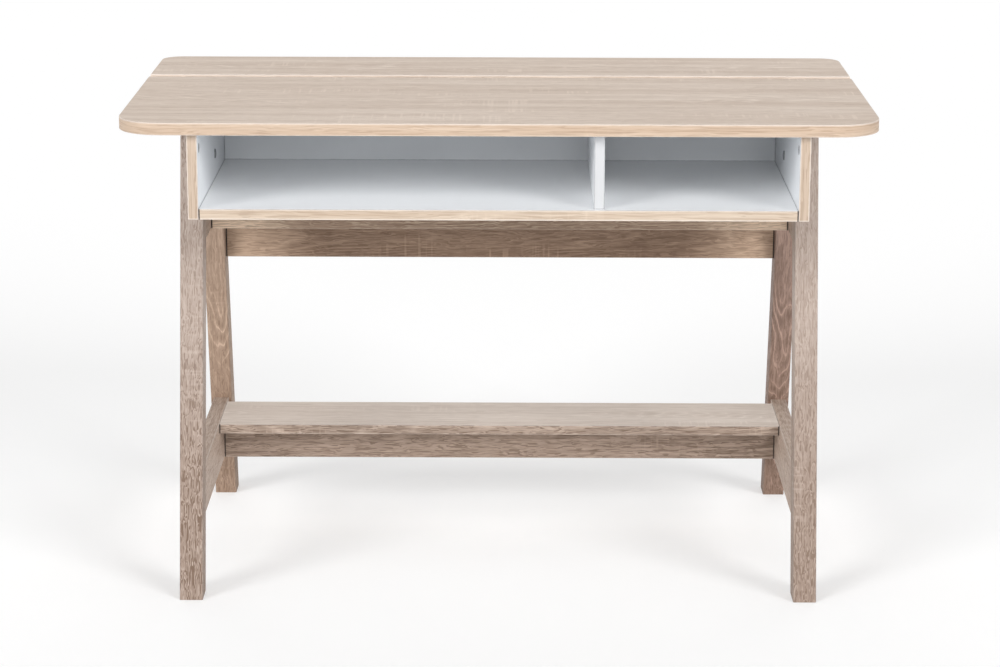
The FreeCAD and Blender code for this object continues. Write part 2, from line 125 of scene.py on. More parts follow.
class DeskDetails(bpy.types.PropertyGroup):
    """Small sizes of the pieces that are drawn here."""

    band_thickness: length_setting("Banding thickness", "Thickness of the top boards' banding", 1.0 * MM)
    band_arris: length_setting("Banding arris", "Radius on the banding's long edges", 0.6 * MM)
    front_corner: length_setting("Front corner radius", "Radius of the top's front corners", 65.0 * MM)
    rear_corner: length_setting("Rear corner radius", "Radius of the top's rear corners", 32.0 * MM)
    cam_chamfer: length_setting("Cam chamfer", "Chamfer on a cam lock's rim", 0.6 * MM)
    cross_length: length_setting("Cross length", "Half length of a cam lock's cross recess", 3.6 * MM)
    cross_width: length_setting("Cross width", "Half width of a cam lock's cross recess", 0.9 * MM)
    recess_depth: length_setting("Recess depth", "Depth of the driver recesses", 2.4 * MM)
    socket_size: length_setting("Socket size", "Half the width across flats of a bolt's socket", 2.0 * MM)


def colours():
    """The colours that the panel holds."""
    return bpy.context.scene.desk_colours


def wood(key):
    """The light and the dark colour of one kind of wood."""
    return {tone: tuple(getattr(colours(), f"{key}_{tone}")) for tone in ("light", "dark")}


def details():
    """The small sizes that the panel holds."""
    return bpy.context.scene.desk_details


# Drawing node trees


class Graph:
    """A node tree being drawn: put places a node, and the methods after feed return what their node puts out."""

    def __init__(self, tree):
        self.tree = tree

    def put(self, kind, inputs=(), **settings):
        node = self.tree.nodes.new(kind)
        for name, setting in settings.items():
            setattr(node, name, setting)
        for key, source in dict(inputs).items():
            self.feed(node.inputs[key], source)
        return node

    def feed(self, socket, source):
        """Link a socket, or set a plain value."""
        if isinstance(source, bpy.types.NodeSocket):
            self.tree.links.new(source, socket)
        else:
            socket.default_value = source

    def math(self, operation, first, second=0.0, third=0.0, clamp=False):
        node = self.put("ShaderNodeMath", {0: first, 1: second, 2: third}, operation=operation, use_clamp=clamp)
        return node.outputs[0]

    def vector(self, operation, first, second=(0.0, 0.0, 0.0)):
        return self.put("ShaderNodeVectorMath", {0: first, 1: second}, operation=operation).outputs[0]

    def mix(self, share, first, second):
        """The first colour, with this share of the second."""
        node = self.put("ShaderNodeMix", data_type="RGBA")
        for index, source in ((0, share), (6, first), (7, second)):
            if index > 0 and not isinstance(source, bpy.types.NodeSocket):
                source = (*source, 1.0)
            self.feed(node.inputs[index], source)
        return node.outputs[2]

    def step(self, value, low, high):
        """0 below low, 1 above high, smooth between."""
        node = self.put("ShaderNodeMapRange", {0: value, 1: low, 2: high, 3: 0.0, 4: 1.0},
                        interpolation_type="SMOOTHSTEP")
        return node.outputs[0]

    def noise(self, place, stretch, detail=2.0, roughness=0.5):
        """Noise with its own frequency, per metre, along each axis."""
        stretched = self.vector("MULTIPLY", place, stretch)
        inputs = {"Vector": stretched, "Scale": 1.0, "Detail": detail, "Roughness": roughness}
        return self.put("ShaderNodeTexNoise", inputs).outputs[0]


def new_group(name, inputs, outputs):
    """An empty shader group with named sockets; returns its graph, its inputs by name and its output node."""
    tree = bpy.data.node_groups.new(name, "ShaderNodeTree")
    kinds = {float: "NodeSocketFloat", tuple: "NodeSocketVector"}
    for label, default in inputs.items():
        socket = tree.interface.new_socket(label, in_out="INPUT", socket_type=kinds[type(default)])
        socket.default_value = default
    for label in outputs:
        tree.interface.new_socket(label, in_out="OUTPUT", socket_type="NodeSocketFloat")
    graph = Graph(tree)
    source = graph.put("NodeGroupInput")
    return graph, source.outputs, graph.put("NodeGroupOutput")


# Cells of the oak's noises per metre, along the grain and across it
GRAIN_CELLS = {
    "slow sway": (5.0, 11.0, 11.0),
    "quick sway": (38.0, 60.0, 60.0),
    "ripple": (45.0, 60.0, 60.0),
    "broad streaks": (3.0, 30.0, 30.0),
    "fine streaks": (14.0, 260.0, 260.0),
    "ring stray": (8.0, 32.0, 32.0),
    "ring areas": (6.0, 9.0, 9.0),
    "fibre lines": (54.0, 600.0, 600.0),
    "pore crowds": (9.0, 34.0, 34.0),
    "pores": (60.0, 720.0, 720.0),
    "saw teeth": (210.0, 5.0, 5.0),
    "saw patches": (5.0, 15.0, 15.0),
}
# Values between which each of the oak's masks rises from none to full
GRAIN_LIMITS = {
    "tone": (0.30, 0.70),
    "rings": (0.84, 0.98),
    "ring areas": (0.40, 0.62),
    "fibre lines": (0.52, 0.59),
    "lips": (0.53, 0.61),
    "pores": (0.64, 0.78),
    "saw teeth": (0.56, 0.72),
    "saw patches": (0.54, 0.68),
}
SEED_STEP = (7.31, 3.17, 1.93)
SLOW_SWAY, QUICK_SWAY, RIPPLE = 20.0 * MM, 8.0 * MM, 9.0 * MM
STRAY_PITCHES = 6.0
# Offset of the painted highlight beside each fibre line
LIP_HIGHLIGHT_OFFSET = (0.0, 0.9 * MM, 0.9 * MM)
CROWD_SHARE = 0.22
LINE_DEPTH, STREAK_HEIGHT = -0.6, 0.35


def oak_figure():
    """Oak figure on a place in metres, with x along the grain: tone, rings, lines, painted highlights beside
    them, pores and saw marks.

    Run stretches the figure along the grain and Broad is the share of wide streaks in the tone. Growth rings
    arch across the board as parabolas, x + Arch (y^2 + z^2), one each Pitch, and Figure sets how far they shade
    the tone. The lip highlights are painted highlights, pale borders on one side of the fibre lines where the
    embossed ridges would catch the light."""
    graph, given, out = new_group("oak figure", {"Place": (0.0, 0.0, 0.0), "Seed": 0.0, "Run": 1.0, "Broad": 0.5,
                                                 "Figure": 0.3, "Arch": 100.0, "Pitch": 30.0 * MM},
                                  ("Tone", "Rings", "Lines", "Lips", "Pores", "Saw", "Height"))
    shift = graph.put("ShaderNodeCombineXYZ", {0: given["Seed"], 1: given["Seed"], 2: given["Seed"]}).outputs[0]
    place = graph.vector("ADD", given["Place"], graph.vector("MULTIPLY", shift, SEED_STEP))
    run = graph.put("ShaderNodeCombineXYZ", {0: given["Run"], 1: 1.0, 2: 1.0}).outputs[0]
    drawn = graph.vector("MULTIPLY", place, run)
    slow = graph.math("SUBTRACT", graph.noise(drawn, GRAIN_CELLS["slow sway"]), 0.5)
    quick = graph.math("SUBTRACT", graph.noise(drawn, GRAIN_CELLS["quick sway"]), 0.5)
    sway = graph.math("MULTIPLY_ADD", slow, SLOW_SWAY, graph.math("MULTIPLY", quick, QUICK_SWAY))
    along = graph.vector("ADD", drawn, graph.put("ShaderNodeCombineXYZ", {1: sway, 2: sway}).outputs[0])
    broad = graph.noise(along, GRAIN_CELLS["broad streaks"], detail=3.0, roughness=0.55)
    fine = graph.noise(along, GRAIN_CELLS["fine streaks"], roughness=0.6)
    spot = graph.put("ShaderNodeSeparateXYZ", {0: given["Place"]}).outputs
    off_axis = graph.math("MULTIPLY_ADD", spot[1], spot[1], graph.math("MULTIPLY", spot[2], spot[2]))
    bend = graph.math("MULTIPLY", given["Pitch"], STRAY_PITCHES)
    stray = graph.math("MULTIPLY", graph.noise(drawn, GRAIN_CELLS["ring stray"], roughness=0.45), bend)
    reach = graph.math("ADD", graph.math("MULTIPLY_ADD", off_axis, given["Arch"], spot[0]), stray)
    wave = graph.math("SINE", graph.math("MULTIPLY", graph.math("DIVIDE", reach, given["Pitch"]), 2 * math.pi))
    area = graph.step(graph.noise(place, GRAIN_CELLS["ring areas"]), *GRAIN_LIMITS["ring areas"])
    half_figure = graph.math("MULTIPLY", given["Figure"], 0.5)
    figure = graph.math("MULTIPLY", graph.math("MULTIPLY", wave, area), half_figure)
    spread = graph.math("MULTIPLY", graph.math("SUBTRACT", broad, fine), given["Broad"])
    tone = graph.step(graph.math("ADD", graph.math("ADD", fine, spread), figure), *GRAIN_LIMITS["tone"])
    rings = graph.math("MULTIPLY", graph.step(wave, *GRAIN_LIMITS["rings"]), area)
    wriggle = graph.math("SUBTRACT", graph.noise(drawn, GRAIN_CELLS["ripple"], detail=1.0), 0.5)
    ripple = graph.math("MULTIPLY", wriggle, RIPPLE)
    fibre = graph.vector("ADD", along, graph.put("ShaderNodeCombineXYZ", {1: ripple, 2: ripple}).outputs[0])
    strands = graph.noise(fibre, GRAIN_CELLS["fibre lines"], detail=1.0)
    lines = graph.step(strands, *GRAIN_LIMITS["fibre lines"])
    beside = graph.noise(graph.vector("ADD", fibre, LIP_HIGHLIGHT_OFFSET), GRAIN_CELLS["fibre lines"], detail=1.0)
    lips = graph.step(beside, *GRAIN_LIMITS["lips"])
    lips = graph.math("SUBTRACT", lips, lines, clamp=True)
    crowd = graph.noise(place, GRAIN_CELLS["pore crowds"])
    dashes = graph.noise(along, GRAIN_CELLS["pores"], detail=1.0, roughness=0.4)
    pores = graph.step(graph.math("MULTIPLY_ADD", crowd, CROWD_SHARE, dashes), *GRAIN_LIMITS["pores"])
    teeth = graph.step(graph.noise(place, GRAIN_CELLS["saw teeth"], detail=0.0), *GRAIN_LIMITS["saw teeth"])
    patch = graph.step(graph.noise(place, GRAIN_CELLS["saw patches"]), *GRAIN_LIMITS["saw patches"])
    saw = graph.math("MULTIPLY", teeth, patch)
    raised = graph.math("MULTIPLY_ADD", lines, LINE_DEPTH, graph.math("MULTIPLY", fine, STREAK_HEIGHT))
    height = graph.math("SUBTRACT", raised, pores)
    for label, source in (("Tone", tone), ("Rings", rings), ("Lines", lines), ("Lips", lips), ("Pores", pores),
                          ("Saw", saw), ("Height", height)):
        graph.feed(out.inputs[label], source)
    return graph.tree


RAGGED_CELLS = (90.0, 90.0, 90.0)
RAGGED_GAIN, RAGGED_LEAST = 1.2, 0.4


def edge_nearness():
    """How near a place is to a board's edge: of its distances to the three pairs of faces, the middle one."""
    graph, given, out = new_group("edge wear", {"Place": (0.0, 0.0, 0.0), "Half": (0.1, 0.1, 0.1),
                                                "Width": 2.0 * MM}, ("Wear",))
    inside = graph.vector("SUBTRACT", given["Half"], graph.vector("ABSOLUTE", given["Place"]))
    gap = graph.put("ShaderNodeSeparateXYZ", {0: inside}).outputs
    low = graph.math("MINIMUM", gap[0], gap[1])
    high = graph.math("MAXIMUM", gap[0], gap[1])
    middle = graph.math("MAXIMUM", low, graph.math("MINIMUM", high, gap[2]))
    ragged = graph.math("MULTIPLY_ADD", graph.noise(given["Place"], RAGGED_CELLS), RAGGED_GAIN, RAGGED_LEAST)
    reach = graph.math("MULTIPLY", given["Width"], ragged)
    wear = graph.math("SUBTRACT", 1.0, graph.math("DIVIDE", middle, reach), clamp=True)
    graph.feed(out.inputs["Wear"], wear)
    return graph.tree


TONE_CELLS, PEBBLE_CELLS, STREAK_CELLS = (5.0, 5.0, 5.0), (900.0, 900.0, 900.0), (9.0, 320.0, 9.0)
RUB_TONE, RUB_LIMITS = 0.25, (0.66, 0.86)


def board_face():
    """Fine texture of a pressed board face: a slow tone, a pebble and faint rub marks."""
    graph, given, out = new_group("board face", {"Place": (0.0, 0.0, 0.0)}, ("Tone", "Rub", "Height"))
    tone = graph.noise(given["Place"], TONE_CELLS, detail=3.0)
    pebble = graph.noise(given["Place"], PEBBLE_CELLS, detail=1.0)
    streak = graph.noise(given["Place"], STREAK_CELLS)
    rub = graph.step(graph.math("MULTIPLY_ADD", tone, RUB_TONE, streak), *RUB_LIMITS)
    for label, source in (("Tone", tone), ("Rub", rub), ("Height", pebble)):
        graph.feed(out.inputs[label], source)
    return graph.tree


BLOTCH_CELLS, SCRATCH_CELLS = (160.0, 160.0, 160.0), (400.0, 2600.0, 1700.0)
SCRATCH_LIMITS = (0.52, 0.70)


def metal_scuff():
    """Plated metal: blotches and fine scratches."""
    graph, given, out = new_group("metal scuff", {"Place": (0.0, 0.0, 0.0)}, ("Blotch", "Scratch"))
    blotch = graph.noise(given["Place"], BLOTCH_CELLS, detail=3.0)
    scratch = graph.step(graph.noise(given["Place"], SCRATCH_CELLS), *SCRATCH_LIMITS)
    graph.feed(out.inputs["Blotch"], blotch)
    graph.feed(out.inputs["Scratch"], scratch)
    return graph.tree


GROUPS = {"oak figure": oak_figure, "edge wear": edge_nearness, "board face": board_face, "metal scuff": metal_scuff}


def grouped(graph, name, inputs):
    """A shared group placed in a material, with its own values."""
    tree = bpy.data.node_groups.get(name) or GROUPS[name]()
    node = graph.put("ShaderNodeGroup", node_tree=tree)
    for key, source in inputs.items():
        graph.feed(node.inputs[key], source)
    return node.outputs


def new_material(name):
    """A material with an empty tree, its principled shader and its graph."""
    material = bpy.data.materials.new(name)
    material.use_nodes = True
    material.node_tree.nodes.clear()
    graph = Graph(material.node_tree)
    shader = graph.put("ShaderNodeBsdfPrincipled")
    graph.put("ShaderNodeOutputMaterial", {"Surface": shader.outputs[0]})
    return material, graph, shader


def bumped(graph, height, strength, distance):
    """A normal from a height that changes over the surface."""
    return graph.put("ShaderNodeBump", {"Strength": strength, "Distance": distance, "Height": height}).outputs[0]


# Where a board lies and which way its grain runs


LEVEL = (0.0, 0.0, 0.0)
CROSSWAYS = (0.0, 0.0, -math.pi / 2)
UPRIGHT = (0.0, math.pi / 2, 0.0)
# Half length for a board whose ends are not rubbed
ENDLESS = 9.0
# Depth within which a place counts as lying on a board's face
FACE_SKIN = 0.2 * MM


class Board:
    """A board's middle, turn and half sizes, so that its own x runs along the grain."""

    def __init__(self, node, turn=LEVEL):
        low, high = (np.array(corner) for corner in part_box(node))
        self.middle = (low + high) / 2
        self.turn = turn
        half = Euler(turn).to_matrix() @ Vector((high - low) / 2)
        self.half = tuple(abs(part) for part in half)

    def place(self, graph):
        """Object coordinates moved to the board's middle and turned to its grain."""
        source = graph.put("ShaderNodeTexCoord").outputs["Object"]
        centred = graph.vector("SUBTRACT", source, tuple(self.middle))
        return graph.put("ShaderNodeMapping", {0: centred, 2: self.turn}, vector_type="POINT").outputs[0]


# Settings of each kind of oak, as oak() takes them; wear is the share of pale edges, partly rubbed wear and
# partly a painted highlight
TOP_OAK = {"run": 0.4, "broad": 0.65, "figure": 0.16, "arch": 160.0, "pitch": 70.0 * MM, "rings": 0.22,
           "lines": 0.16, "pores": 0.10, "saw": 0.2, "wear": 0.0, "rough": 0.78}
BANDING_OAK = {"run": 0.2, "broad": 0.6, "figure": 0.0, "rings": 0.0, "lines": 0.25, "pores": 0.08, "saw": 0.1,
               "wear": 0.8, "rough": 0.5, "edge": 2.2 * MM}
LEG_OAK = {"run": 0.8, "broad": 0.3, "arch": -110.0, "pitch": 42.0 * MM, "pores": 0.22, "saw": 0.2, "wear": 0.2,
           "rough": 0.55}
FRONT_LEG_OAK = {**LEG_OAK, "figure": 0.08, "rings": 0.08, "foot_shade": 0.52}
REAR_LEG_OAK = {**LEG_OAK, "figure": 0.22, "rings": 0.75, "lines": 0.40, "foot_shade": 0.5}
CROSS_RAIL_OAK = {"run": 0.5, "broad": 0.35, "figure": 0.15, "lines": 0.30, "pores": 0.2, "saw": 0.2, "wear": 0.4,
                  "rough": 0.55, "edge": 2.2 * MM}
SHELF_OAK = {"run": 0.3, "broad": 0.5, "figure": 0.12, "lines": 0.15, "pores": 0.10, "saw": 0.2, "wear": 0.2,
             "rough": 0.76}
TIE_OAK = {"run": 0.5, "broad": 0.55, "figure": 0.24, "arch": 320.0, "pitch": 110.0 * MM, "rings": 0.15,
           "pores": 0.25, "saw": 0.25, "wear": 0.25, "rough": 0.52}
DOWEL_DARK = 0.7
DOWEL_OAK = {"figure": 0.1, "saw": 0.0, "wear": 0.0, "rough": 0.6}
# Reach of the shade in the joints at a board's ends
JOINT_REACH, RAIL_JOINT_REACH = 2.0 * MM, 2.4 * MM

# Shares of the dark wood's red, green and blue in a fibre line
FIBRE_TINT = (0.44, 0.36, 0.30)
# Shares of the half length between which a board's dark middle gives way to its pale ends, partly the wood's tone
# and partly painted shade under the box and painted light at the ends
MIDDLE_TONE_AND_SHADE_SPAN = (0.64, 0.90)
# Distances below a leg's middle between which it darkens with painted shade, in metres
FOOT_SHADE_SPAN = (-0.10, 0.30)
FOOT_LINES = 0.5
# Pale marks, the rings, the saw marks and the painted highlights beside the fibre lines, are the light wood times
# the first, up to the second
PALE_GAIN, PALE_MOST = 1.25, 0.95
LIP_HIGHLIGHT_SHARE = 0.45
# Pale edges, partly rubbed wear and partly a painted highlight along the arrises, are the light wood times the
# first, and the second on top
WEAR_AND_SHEEN_GAIN, WEAR_AND_SHEEN_LEAST = 0.6, 0.36
JOINT_FADE = 0.6
PORE_ROUGH, TONE_ROUGH, WORN_ROUGH = 0.16, -0.06, -0.08
OAK_GLOSS = 0.18
OAK_BUMP = (0.35, 0.25 * MM)


def oak(name, place, half, light, dark, seed, run=1.0, broad=0.5, figure=0.3, arch=100.0, pitch=30.0 * MM,
        rings=0.2, lines=0.5, pores=0.3, saw=0.2, wear=0.3, rough=0.5, edge=1.6 * MM, ends=0.0, middle=0.0,
        foot_shade=0.0, backing=None):
    """Oak board: streaked tone, arched rings, fibre lines with painted highlights beside them, pores, pale saw
    marks and pale edges, partly rubbed wear and partly a painted highlight.

    Ends is the reach of the shade in the joints at its ends; middle the share by which its middle is darker and
    its ends are paler, partly the wood's own tone and partly painted light, shade under the box and light at the
    ends; foot the share of painted shade by which its lower end is darker, with deeper fibre lines too; and
    backing the colour of its underside."""
    material, graph, shader = new_material(name)
    spot = place(graph)
    grain = grouped(graph, "oak figure", {"Place": spot, "Seed": seed, "Run": run, "Broad": broad,
                                          "Figure": figure, "Arch": arch, "Pitch": pitch})
    worn_and_sheen = grouped(graph, "edge wear", {"Place": spot, "Half": half, "Width": edge})["Wear"]
    colour = graph.mix(grain["Tone"], dark, light)
    position = graph.put("ShaderNodeSeparateXYZ", {0: spot}).outputs
    reach = graph.math("ABSOLUTE", position[0])
    deep = tuple(share * part for share, part in zip(FIBRE_TINT, dark))
    fibres, lips = grain["Lines"], grain["Lips"]
    shade = []
    # Partly the wood's own tone and partly painted light: a darker middle in the shade under the box, paler lit
    # ends
    if middle > 0.0:
        outer = graph.step(reach, *(share * half[0] for share in MIDDLE_TONE_AND_SHADE_SPAN))
        shade += [(graph.math("SUBTRACT", 1.0, outer), middle, dark), (outer, middle, light)]
    # Painted shade towards the floor, with the fibre lines deepening there too
    if foot_shade > 0.0:
        low = graph.step(graph.math("MULTIPLY", position[0], -1.0), *FOOT_SHADE_SPAN)
        shade.append((low, foot_shade, tuple(colours().foot_shade)))
        strength = graph.math("MULTIPLY_ADD", low, FOOT_LINES, 1.0 - FOOT_LINES)
        fibres, lips = graph.math("MULTIPLY", fibres, strength), graph.math("MULTIPLY", lips, strength)
    pale = tuple(min(PALE_MOST, PALE_GAIN * part) for part in light)
    # The pale edge colour stands for rubbed wear and, in part, a painted highlight on the arrises
    rubbed = tuple(WEAR_AND_SHEEN_GAIN * part + WEAR_AND_SHEEN_LEAST for part in light)
    shade += [(grain["Rings"], rings, pale), (fibres, lines, deep), (lips, LIP_HIGHLIGHT_SHARE * lines, pale),
              (grain["Pores"], pores, tuple(colours().pore)), (grain["Saw"], saw, pale), (worn_and_sheen, wear, rubbed)]
    for mask, share, tint in shade:
        colour = graph.mix(graph.math("MULTIPLY", mask, share), colour, tint)
    if ends > 0.0:
        joint = graph.step(reach, half[0] - ends, half[0] - JOINT_FADE * ends)
        colour = graph.mix(joint, colour, tuple(colours().joint))
    if backing:
        colour = graph.mix(graph.math("LESS_THAN", position[2], FACE_SKIN - half[2]), colour, backing)
    graph.feed(shader.inputs["Base Color"], colour)
    level = graph.math("MULTIPLY_ADD", grain["Pores"], PORE_ROUGH, rough)
    level = graph.math("MULTIPLY_ADD", grain["Tone"], TONE_ROUGH, level)
    level = graph.math("MULTIPLY_ADD", worn_and_sheen, WORN_ROUGH, level)
    graph.feed(shader.inputs["Roughness"], level)
    graph.feed(shader.inputs["Specular IOR Level"], OAK_GLOSS)
    graph.feed(shader.inputs["Normal"], bumped(graph, grain["Height"], *OAK_BUMP))
    return material


# A painted shade along every edge of a white board, where the joints would be in shade: its reach, share and grey
SHADE_REACH, SHADE_SHARE, SHADE_GREY = 1.5 * MM, 0.75, (0.22, 0.23, 0.24)
TONE_LEAST = 0.95
RUB_SHARE, RUB_TINT, RUB_ROUGH = 0.10, 0.80, 0.12
OUTER_PAINTED_SHADE = 0.13
WHITE_ROUGH = 0.42
WHITE_BUMP = (0.12, 0.08 * MM)


def white_board(name, place, half, white, outer=0.0):
    """Cool white pressed board, rubbed where things slide, with a thin painted shade along all its edges, which
    reads as shade in its joints.

    Outer is -1 or 1 for a board whose left or right face looks out of the box: that face gets a little painted
    shade, deeper than the lit inner face."""
    material, graph, shader = new_material(name)
    spot = place(graph)
    face = grouped(graph, "board face", {"Place": spot})
    near = grouped(graph, "edge wear", {"Place": spot, "Half": half, "Width": SHADE_REACH})["Wear"]
    colour = graph.mix(face["Tone"], tuple(TONE_LEAST * part for part in white), white)
    rubbed = tuple(RUB_TINT * part for part in white)
    colour = graph.mix(graph.math("MULTIPLY", face["Rub"], RUB_SHARE), colour, rubbed)
    # Painted shade: the face that looks out of the box is darkened against the lit inner face of the same board
    if outer:
        across = graph.put("ShaderNodeSeparateXYZ", {0: spot}).outputs[0]
        out = graph.math("GREATER_THAN", graph.math("MULTIPLY", across, outer), half[0] - FACE_SKIN)
        colour = graph.mix(graph.math("MULTIPLY", out, OUTER_PAINTED_SHADE), colour, BLACK)
    colour = graph.mix(graph.math("MULTIPLY", near, SHADE_SHARE), colour, SHADE_GREY)
    graph.feed(shader.inputs["Base Color"], colour)
    graph.feed(shader.inputs["Roughness"], graph.math("MULTIPLY_ADD", face["Rub"], RUB_ROUGH, WHITE_ROUGH))
    graph.feed(shader.inputs["Normal"], bumped(graph, face["Height"], *WHITE_BUMP))
    return material


DULL_TINT, BRIGHT_TINT, SCRATCH_SHARE = 0.62, 1.3, 0.35
BLOTCH_ROUGH, PLATE_ROUGH = 0.22, 0.30
PLATE_BUMP = (0.15, 0.03 * MM)


def plated(name, colour):
    """Dull zinc plate with blotches and fine scratches."""
    material, graph, shader = new_material(name)
    source = graph.put("ShaderNodeTexCoord").outputs["Object"]
    marks = grouped(graph, "metal scuff", {"Place": source})
    dull = tuple(DULL_TINT * part for part in colour)
    bright = tuple(min(1.0, BRIGHT_TINT * part) for part in colour)
    tint = graph.mix(marks["Blotch"], dull, colour)
    tint = graph.mix(graph.math("MULTIPLY", marks["Scratch"], SCRATCH_SHARE), tint, bright)
    graph.feed(shader.inputs["Base Color"], tint)
    graph.feed(shader.inputs["Metallic"], 1.0)
    graph.feed(shader.inputs["Roughness"], graph.math("MULTIPLY_ADD", marks["Blotch"], BLOTCH_ROUGH, PLATE_ROUGH))
    graph.feed(shader.inputs["Normal"], bumped(graph, marks["Scratch"], *PLATE_BUMP))
    return material


def dress(node, material):
    """Give a carried-over node its finish."""
    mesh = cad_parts[node].data
    mesh.materials.clear()
    mesh.materials.append(material)


# Surfaces from arrays


def grid_mesh(name, grids, closed_rows, closed_columns, uv=None):
    """A mesh over grids of points, shaped grids by rows by columns by three, a face to each four neighbours.

    For a single grid, uv gives each corner its place on the unrolled surface, and is one row and column longer
    where the grid closes."""
    count, rows, columns = grids.shape[:3]
    row = np.arange(rows if closed_rows else rows - 1)
    column = np.arange(columns if closed_columns else columns - 1)
    first, second = (block.ravel() for block in np.meshgrid(row, column, indexing="ij"))
    corners = np.stack([np.stack([first, second], 1), np.stack([first + 1, second], 1),
                        np.stack([first + 1, second + 1], 1), np.stack([first, second + 1], 1)], 1)
    one_grid = (corners[..., 0] % rows) * columns + corners[..., 1] % columns
    start = np.arange(count) * rows * columns
    faces = (start[:, None, None] + one_grid).reshape(-1, 4)
    flat = grids.reshape(-1, 3)
    if closed_rows and signed_volume(flat, faces) < 0:
        faces, corners = faces[:, ::-1], corners[:, ::-1]
    mesh = bpy.data.meshes.new(name)
    mesh.from_pydata(flat, [], faces)
    if uv is not None:
        layer = mesh.uv_layers.new(name="unrolled")
        layer.data.foreach_set("uv", uv[corners[..., 0], corners[..., 1]].astype(np.float32).ravel())
    return mesh


def signed_volume(points, faces):
    """Sum over the faces' triangles of a . (b x c) / 6: below zero where the faces point inwards."""
    a, b, c, d = (points[faces[:, index]] for index in range(4))
    total = np.einsum("ij,ij->", a, np.cross(b, c)) + np.einsum("ij,ij->", a, np.cross(c, d))
    return total / 6


SHARP_ANGLE = math.radians(38.0)


def piece(name, mesh, material, slot, *nodes):
    """A finished piece: smooth but for its sharp edges, on the desk's body and in place of its nodes."""
    mesh.validate()
    mesh.shade_smooth()
    mesh.set_sharp_from_angle(angle=SHARP_ANGLE)
    mesh.materials.append(material)
    item = bpy.data.objects.new(name, mesh)
    bpy.context.scene.collection.objects.link(item)
    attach(item, BODY)
    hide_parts(*nodes)


def banding_path(low, high, radius, rounds_front, steps=20):
    """Outline of a top board as points and the inward direction at each: quarter circles at the two rounded
    corners, and at a square corner a mitre direction of root two."""
    turn = np.linspace(0.0, math.pi / 2, steps)
    points, inward = [], []
    for quarter in range(4):
        angle = turn + quarter * math.pi / 2
        side_x = 1.0 if quarter in (0, 3) else -1.0
        side_y = 1.0 if quarter in (0, 1) else -1.0
        corner = np.array([high[0] if side_x > 0 else low[0], high[1] if side_y > 0 else low[1]])
        if (side_y < 0) == rounds_front:
            centre = corner - radius * np.array([side_x, side_y])
            spoke = np.stack([np.cos(angle), np.sin(angle)], 1)
            points.append(centre + radius * spoke)
            inward.append(-spoke)
        else:
            points.append(corner[None, :])
            inward.append(-np.array([[side_x, side_y]]))
    return np.concatenate(points), np.concatenate(inward)


def banding_profile(bottom, top, thickness, arris, steps=5):
    """Section of the banding as inset and height: outer face between two quarter-round arrises, then the back."""
    angle = np.linspace(0.0, math.pi / 2, steps)
    lower = np.stack([arris - arris * np.sin(angle), bottom + arris - arris * np.cos(angle)], 1)
    upper = np.stack([arris - arris * np.cos(angle), top - arris + arris * np.sin(angle)], 1)
    back = np.array([[thickness, top], [thickness, bottom]])
    return np.concatenate([lower, upper, back])


def banding_mesh(name, node, radius, rounds_front):
    """The profile carried round the outline: point = outline + inset x inward, height from the profile."""
    low, high = (np.array(corner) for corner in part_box(node))
    outline, inward = banding_path(low, high, radius, rounds_front)
    section = banding_profile(low[2], high[2], details().band_thickness, details().band_arris)
    spread = outline[:, None, :] + inward[:, None, :] * section[None, :, :1]
    height = np.broadcast_to(section[None, :, 1:], (len(outline), len(section), 1))
    points = np.concatenate([spread, height], 2)
    run = np.concatenate([[0.0], np.cumsum(np.linalg.norm(np.roll(outline, -1, 0) - outline, axis=1))])
    climb = np.concatenate([[0.0], np.cumsum(np.linalg.norm(np.roll(section, -1, 0) - section, axis=1))])
    uv = np.stack(np.meshgrid(run, climb, indexing="ij"), 2)
    return grid_mesh(name, points[None], closed_rows=True, closed_columns=True, uv=uv)


def recessed_disc(outline, rings, facing, origin):
    """A turned solid with a driver recess: ring k at angle t is at radius r_k, or r_k times the recess outline
    where marked, and at depth z_k below the face; facing maps across, up and out to the desk's axes."""
    angle = np.linspace(0.0, 2 * math.pi, len(outline), endpoint=False)
    level = np.ones_like(outline)
    radius = np.stack([scale * (outline if marked else level) for scale, marked, _ in rings], 1)
    depth = np.broadcast_to(np.array([z for _, _, z in rings]), radius.shape)
    local = np.stack([radius * np.cos(angle)[:, None], radius * np.sin(angle)[:, None], -depth], 2)
    return local @ np.array(facing) + np.array(origin)


# Turn that keeps the cross's sines and cosines off zero
OFF_AXIS = 1e-4


def cross_outline(count, half_length, half_width):
    """Radius of a cross: r(t) = max(min(w / |sin t|, l / |cos t|), min(w / |cos t|, l / |sin t|))."""
    angle = np.linspace(0.0, 2 * math.pi, count, endpoint=False) + OFF_AXIS
    across, up = np.abs(np.cos(angle)), np.abs(np.sin(angle))
    level = np.minimum(half_width / up, half_length / across)
    upright = np.minimum(half_width / across, half_length / up)
    return np.maximum(level, upright)


def hexagon_outline(count, half_flats):
    """Radius of a hexagon: r(t) = a / cos(t mod 60 degrees - 30 degrees)."""
    angle = np.linspace(0.0, 2 * math.pi, count, endpoint=False)
    return half_flats / np.cos(np.mod(angle, math.pi / 3) - math.pi / 6)


# Decimals of a metre to which points of loose triangles are merged
MERGE_DIGITS = 6


def node_points(node):
    """The points of a carried-over node, one row each."""
    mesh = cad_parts[node].data
    points = np.empty(len(mesh.vertices) * 3, np.float32)
    mesh.vertices.foreach_get("co", points)
    return points.reshape(-1, 3)


